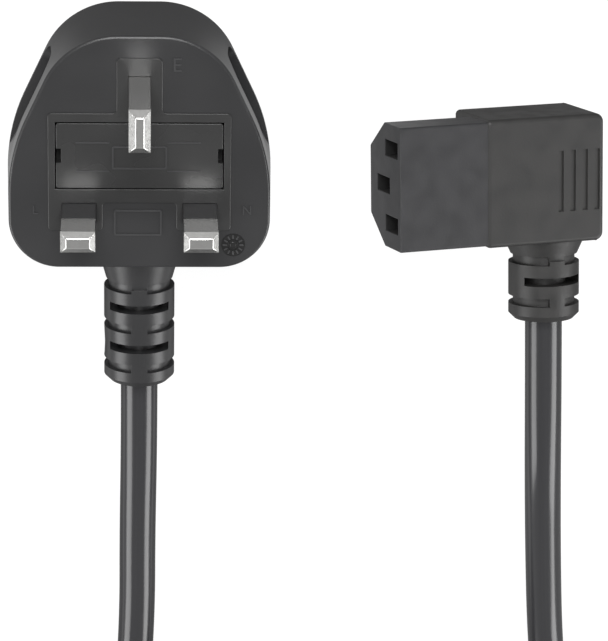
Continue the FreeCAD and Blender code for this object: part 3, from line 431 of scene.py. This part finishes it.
# %% [markdown]
# ## Marks on the pin face
# Terminal letters beside the pins, four ribs on the fuse carrier and two plain frames are engraved and
# polished in the mould, so they stand a little proud of the face. Their colour is painted lighter than the
# face, a painted sheen for the light that their tops catch. They are thin pieces of their own that sink a
# little into the face.
# Joining them to the skin would need booleans on its dense edges and look the same.

# %% Helpers for marks
MARK_SINK = 0.05 * MM
MARK_THICKNESS = 0.23 * MM
FACE_LEVEL = 20.5 * MM


def place_mark(mesh, name, centre, level, body, material):
    """Moves a mark's mesh to its place on a face and lets it ride on a body."""
    mesh.transform(Matrix.Translation((centre[0] * MM, centre[1] * MM, level - MARK_SINK)))
    piece = bpy.data.objects.new(name, mesh)
    bpy.context.scene.collection.objects.link(piece)
    give(piece, material)
    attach(piece, body)


def closed_mesh(form, name):
    """A mesh from a finished bmesh, its faces turned outwards."""
    bmesh.ops.recalc_face_normals(form, faces=form.faces)
    mesh = bpy.data.meshes.new(name)
    form.to_mesh(mesh)
    form.free()
    return mesh


def rounded_sheet(width_mm, height_mm, corner_mm, segments):
    """A flat rectangle about the origin, with rounded corners."""
    form = bmesh.new()
    bmesh.ops.create_grid(form, x_segments=1, y_segments=1, size=0.5)
    bmesh.ops.scale(form, verts=form.verts, vec=(width_mm * MM, height_mm * MM, 1))
    bmesh.ops.bevel(form, geom=form.verts[:], offset=corner_mm * MM, affect="VERTICES", segments=segments,
                    profile=0.5, material=-1)
    return form


def thicken(form, faces):
    """Extrudes flat faces upwards by a mark's thickness and keeps their undersides."""
    grown = bmesh.ops.extrude_face_region(form, geom=faces, use_keep_orig=True)
    tops = [item for item in grown["geom"] if isinstance(item, bmesh.types.BMVert)]
    bmesh.ops.translate(form, verts=tops, vec=(0, 0, MARK_THICKNESS))


# %% [markdown]
# ## Frames, ribs and letters
# A frame is a flat sheet whose border is kept and whose middle is deleted. A rib is a
# narrow sheet with round ends. A letter is a line of type made into a mesh. All of
# them are then thickened by the same amount.

# %% Raised frames
FRAME_LINE = 0.3 * MM
FRAME_CORNER_MM = 0.35


def raised_frame(name, width_mm, height_mm):
    """A narrow rectangular frame with rounded corners."""
    form = rounded_sheet(width_mm, height_mm, FRAME_CORNER_MM, segments=4)
    plate = form.faces[:]
    border = bmesh.ops.inset_region(form, faces=plate, thickness=FRAME_LINE, use_boundary=True,
                                    use_even_offset=True)["faces"]
    bmesh.ops.delete(form, geom=plate, context="FACES")
    thicken(form, border)
    return closed_mesh(form, name)


place_mark(raised_frame("carrier_frame", 10.1, 4.4), "carrier_frame", (0.0, -0.34), PLATE_TOP,
           "fuse_carrier", mark_painted_sheen_pvc)
place_mark(raised_frame("foot_frame", 8.8, 4.95), "foot_frame", (-0.3, -12.93), FACE_LEVEL,
           "plug", mark_painted_sheen_pvc)

# %% Ribs on the fuse carrier
RIB_LENGTH_MM = 6.2
RIB_WIDTH_MM = 0.22
RIB_CORNER_SHARE = 0.45         # a little under half, so that the corners of an end don't meet
RIB_CENTRES = [(-8.6, 2.53), (-8.6, -2.93), (8.2, 2.53), (8.2, -2.93)]

for number, centre in enumerate(RIB_CENTRES):
    name = "carrier_rib_%d" % number
    form = rounded_sheet(RIB_LENGTH_MM, RIB_WIDTH_MM, RIB_WIDTH_MM * RIB_CORNER_SHARE, segments=3)
    thicken(form, form.faces[:])
    place_mark(closed_mesh(form, name), name, centre, PLATE_TOP, "fuse_carrier", mark_painted_sheen_pvc)

# %% Terminal letters
CAP_SHARE = 0.7                 # height of a capital letter over the type size
LETTERS = {                     # middle and height of each letter, in millimetres
    "E": ((6.85, 17.1), 2.6),
    "L": ((-19.2, -10.55), 1.7),
    "N": ((19.85, -10.6), 1.7),
}
for letter, (centre, height) in LETTERS.items():
    type_line = bpy.data.curves.new("letter_" + letter, "FONT")
    type_line.body = letter
    type_line.size = height * MM / CAP_SHARE
    type_line.align_x = "CENTER"
    type_line.align_y = "CENTER"
    type_line.extrude = MARK_THICKNESS / 2
    setter = bpy.data.objects.new("setter", type_line)
    mesh = bpy.data.meshes.new_from_object(setter)
    bpy.data.objects.remove(setter)
    bpy.data.curves.remove(type_line)
    mesh.transform(Matrix.Translation((0, 0, MARK_THICKNESS / 2)))
    place_mark(mesh, "letter_" + letter, centre, FACE_LEVEL, "plug", mark_painted_sheen_pvc)

# %% [markdown]
# ## Mould dial
# A moulder sets a small steel dial in the mould and turns it to the month, and it
# leaves a dark disc with a ring of spokes. The disc is a profile spun about its axis,
# and the spokes are one bar spun as twelve copies in the colour of the other marks.

# %% Mould dial
DIAL_CENTRE = (17.33, -17.22)
DIAL_STEPS = 64
DIAL_PROFILE = [                # distance from the axis and height, in millimetres
    (0.0, 0.14), (0.5, 0.14), (0.56, 0.1), (0.9, 0.1), (0.96, 0.18), (1.08, 0.18), (1.12, 0.1), (2.2, 0.1),
    (2.26, 0.0), (0.0, 0.0),
]
dial_pvc = moulded_plastic("polished_dial_mark", "#0e0e0e", "#161616", 0.3, 0.4, 1.0, 0.2, 0.004)
form = bmesh.new()
rim = [form.verts.new((out * MM, 0, up * MM)) for out, up in DIAL_PROFILE]
for inner, outer in zip(rim, rim[1:]):
    form.edges.new((inner, outer))
bmesh.ops.spin(form, geom=form.edges[:] + form.verts[:], axis=(0, 0, 1), cent=(0, 0, 0), angle=2 * math.pi,
               steps=DIAL_STEPS, use_merge=True)
bmesh.ops.remove_doubles(form, verts=form.verts, dist=0.001 * MM)
place_mark(closed_mesh(form, "mould_dial"), "mould_dial", DIAL_CENTRE, FACE_LEVEL, "plug",
           dial_pvc)

# %% Dial spokes
SPOKES = 12
SPOKE_SIZE = Vector((0.75, 0.3, 0.16)) * MM
SPOKE_EDGE = 0.03 * MM
SPOKE_MIDDLE = Vector((1.55, 0, 0.13)) * MM
form = bmesh.new()
bmesh.ops.create_cube(form, size=1.0)
bmesh.ops.scale(form, verts=form.verts, vec=SPOKE_SIZE)
bmesh.ops.bevel(form, geom=form.edges[:], offset=SPOKE_EDGE, affect="EDGES", segments=1, profile=0.5,
                material=-1)
bmesh.ops.translate(form, verts=form.verts, vec=SPOKE_MIDDLE)
bmesh.ops.spin(form, geom=form.verts[:] + form.edges[:] + form.faces[:], axis=(0, 0, 1), cent=(0, 0, 0),
               angle=2 * math.pi * (SPOKES - 1) / SPOKES, steps=SPOKES - 1, use_duplicate=True)
place_mark(closed_mesh(form, "dial_spokes"), "dial_spokes", DIAL_CENTRE, FACE_LEVEL, "plug",
           mark_painted_sheen_pvc)
print("marks", len(LETTERS), "letters,", SPOKES, "spokes")

# %% [markdown]
# ## The lead
# The lead is one curve. It leaves the plug's relief, comes down to the surface, is wound into a coil, and
# rises again into the connector's relief. The two free ends are listed points. The coil's turns are worked
# out: four lanes side by side on the surface, wound inwards, and the rest on top of them, wound outwards.

# %% The lead's route
LEAD_RADIUS = 3.5 * MM
AT_PLUG = [
    (0, -47.06, 10.25), (0, -61, 10.25), (-0.3, -80, 7.4), (-0.3, -100, 4.0), (-1.5, -120, 3.55),
    (-7.2, -137, 3.6), (-9.9, -148, 3.5),
]
AT_CONNECTOR = [
    (86.0, -158, 11.3), (85.2, -143.5, 10.9), (83.7, -130, 6.3), (82.1, -117, 3.9), (80.4, -103, 5.0),
    (78.7, -83, 10.4), (77.3, -64, 16.0),
]
COIL_CENTRE = Vector((39.5, -168.0, 0.0)) * MM
LANES = [49.7, 42.7, 35.7, 28.7, 32.2, 39.2, 46.2]
LAYERS = [0, 0, 0, 0, 1, 1, 1]
TURNS = 6.5
POINTS_PER_TURN = 24
SHIFT_START = 0.6               # share of a turn after which it moves to the next lane
CLIMB_FROM = 180                # degrees about the turn beside it, where a climb to the next layer starts
CLIMB_TO = 60                   # degrees where it ends, in the hollow between two turns


def coil_points():
    """Points of the coil from its outer lane on the surface, counterclockwise."""
    # The spline cuts inside its points: beside one, it weighs that point 6/8 and its neighbours 1/8 each
    swell = 1 / (0.75 + 0.25 * math.cos(2 * math.pi / POINTS_PER_TURN))
    points = []
    for step in range(int(TURNS * POINTS_PER_TURN) + 1):
        lane, share = divmod(step / POINTS_PER_TURN, 1)
        lane = int(lane)
        shift = max(0.0, (share - SHIFT_START) / (1 - SHIFT_START))
        shift = shift * shift * (3 - 2 * shift)
        after = min(lane + 1, len(LANES) - 1)
        radius = LANES[lane] + (LANES[after] - LANES[lane]) * shift
        height = LEAD_RADIUS * (1 + 2 * LAYERS[lane])
        if LAYERS[after] > LAYERS[lane]:
            climb = math.radians(CLIMB_FROM + (CLIMB_TO - CLIMB_FROM) * shift)
            beside = LANES[lane - 1] + (LANES[lane] - LANES[lane - 1]) * shift
            radius = beside + 2 * LEAD_RADIUS / MM * math.cos(climb)
            height = LEAD_RADIUS + 2 * LEAD_RADIUS * math.sin(max(climb, math.pi / 2))
        angle = math.pi + 2 * math.pi * share
        out = radius * MM * swell
        points.append(COIL_CENTRE + Vector((out * math.cos(angle), out * math.sin(angle), height)))
    return points


route = [Vector(point) * MM for point in AT_PLUG]
route += coil_points()
route += [Vector(point) * MM for point in AT_CONNECTOR]

# %% The connector's end of the route
SOCKET_EXIT = Vector((76.2, -32.8, 16.0)) * MM
SOCKET_HEADING = Vector((0.022, -0.99, 0.139))
SOCKET_STRAIGHT = 14 * MM
route += [SOCKET_EXIT + SOCKET_HEADING * SOCKET_STRAIGHT, SOCKET_EXIT]

# %% [markdown]
# ## The lead as a curve
# The route's points control one smooth NURBS line, and a round bevel makes it a tube.
# The order and the end points are set after the points are there, because set before
# them they wouldn't hold. The lead carries the connector with all that is in it.

# %% The lead as a curve
curve = bpy.data.curves.new("lead_line", "CURVE")
curve.dimensions = "3D"
line = curve.splines.new("NURBS")
line.points.add(len(route) - 1)
for point, place in zip(line.points, route):
    point.co = (*place, 1.0)
line.order_u = 3
line.use_endpoint_u = True
line.resolution_u = 6
curve.bevel_depth = LEAD_RADIUS
curve.bevel_resolution = 7
curve.use_fill_caps = True
lead = bpy.data.objects.new("lead", curve)
bpy.context.scene.collection.objects.link(lead)
lead_length = line.calc_length()
curve.materials.append(extruded_sheath("extruded_pvc_sheath", "#2c2c2e", "#323234", lead_length,
                                       2 * math.pi * LEAD_RADIUS))
print("lead", round(lead_length, 3), "m from", len(route), "points")

# %% What the lead carries
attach(lead, "plug")
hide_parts("lead_at_plug", "lead_coil", "lead_at_connector")

# %% [markdown]
# ## Light and floor
# Dark gloss shows its shape by what it mirrors. Two large soft boxes stand left and
# right, low enough that they show as two streaks along the lead and leave the middle
# of each round form dark. One beyond the plug's upper edge lights the crown, and a
# small one above the camera puts a glow on the face where the plastic mirrors the
# pins. The floor shows white to the camera, so the background needs no extra light on
# the object. In reflections it is pale in a strip on each side of the plug and dark
# everywhere else, which keeps the crown and the lead's edges dark.

# %% Floor
FLOOR_HALF = 3.0
FLOOR_SEEN = 0.9                # brightness that the camera sees
STRIP_NEAR = (14 * MM, 32 * MM)
STRIP_FAR = (44 * MM, 62 * MM)
form = bmesh.new()
bmesh.ops.create_grid(form, x_segments=1, y_segments=1, size=FLOOR_HALF)
floor = bpy.data.objects.new("floor", closed_mesh(form, "floor"))
bpy.context.scene.collection.objects.link(floor)

# %% The floor's card
matt_card, tree, shader = new_finish("matt_card")
shader.inputs["Base Color"].default_value = linear("#6a6a6a")
shader.inputs["Roughness"].default_value = 0.9
place = add_node(tree, "ShaderNodeNewGeometry").outputs["Position"]
across = add_node(tree, "ShaderNodeSeparateXYZ", {}, {"Vector": place}).outputs["X"]
aside = maths(tree, "ABSOLUTE", across)
near_edge = ramp(tree, aside, STRIP_NEAR, (0.05, 0.6), smooth=True)
far_edge = ramp(tree, aside, STRIP_FAR, (1.0, 0.2), smooth=True)
seen, mirrored = rays(tree)
sheen = maths(tree, "MULTIPLY", mirrored, maths(tree, "MULTIPLY", near_edge, far_edge))
glow = maths(tree, "MULTIPLY_ADD", seen, FLOOR_SEEN, sheen)
shader.inputs["Emission Color"].default_value = linear("#ffffff")
tree.links.new(glow, shader.inputs["Emission Strength"])
give(floor, matt_card)

# %% [markdown]
# ## World
# The world is white to the camera, as the floor is. Metal and gloss mirror a dome that
# is paler at the horizon than overhead, and every surface gets a little even light.

# %% World
WORLD_SEEN = 1.0
WORLD_LIGHT = 0.3
DOME_REACH = (0.0, 0.9)         # from the horizon to nearly overhead
DOME_MIRRORED = (0.62, 0.4)
world = bpy.data.worlds.new("studio")
world.use_nodes = True
bpy.context.scene.world = world
sky = world.node_tree
sky.nodes.clear()
direction = add_node(sky, "ShaderNodeTexCoord").outputs["Generated"]
height = add_node(sky, "ShaderNodeSeparateXYZ", {}, {"Vector": direction}).outputs["Z"]
dome = ramp(sky, height, DOME_REACH, DOME_MIRRORED)
seen, mirrored = rays(sky)
around = add_node(sky, "ShaderNodeMix", {"A": WORLD_LIGHT}, {"Factor": mirrored, "B": dome},
                  data_type="FLOAT")
strength = add_node(sky, "ShaderNodeMix", {"B": WORLD_SEEN}, {"Factor": seen, "A": around.outputs["Result"]},
                    data_type="FLOAT")
backdrop = add_node(sky, "ShaderNodeBackground", {"Color": linear("#ffffff")},
                    {"Strength": strength.outputs["Result"]})
add_node(sky, "ShaderNodeOutputWorld", {}, {"Surface": backdrop.outputs["Background"]})

# %% [markdown]
# ## Soft boxes
# Each box has a place, a point that it faces, a width and a length in metres, and a
# power in watts. The two side boxes are long, so that their streaks run the whole
# length of the lead in view.

# %% Soft boxes
def soft_box(name, place, target, width, length, watts):
    """A rectangular area light that faces a point, its length along the world's Y axis."""
    data = bpy.data.lights.new(name, "AREA")
    data.shape = "RECTANGLE"
    data.size = width
    data.size_y = length
    data.energy = watts
    box = bpy.data.objects.new(name, data)
    bpy.context.scene.collection.objects.link(box)
    facing = (Vector(place) - Vector(target)).normalized()
    long_side = (Vector((0, 1, 0)) - facing * facing.y).normalized()
    turn = Matrix((long_side.cross(facing), long_side, facing)).transposed()
    box.matrix_world = Matrix.Translation(place) @ turn.to_4x4()


soft_box("left_box", (-0.735, -0.42, 0.363), (0.03, -0.3, 0.0), 0.53, 0.8, 6.0)
soft_box("right_box", (0.785, -0.42, 0.34), (0.03, -0.3, 0.0), 0.48, 0.8, 6.2)
soft_box("top_box", (0.0, 0.6, 0.66), (0.0, 0.0, 0.0), 0.5, 0.35, 5.8)
soft_box("front_box", (0.0, 0.3, 1.0), (0.0, 0.0, 0.0), 0.26, 0.26, 2.6)

# %% [markdown]
# ## View
# The Standard view shows each colour as it was written.

# %% View settings
bpy.context.scene.view_settings.view_transform = "Standard"
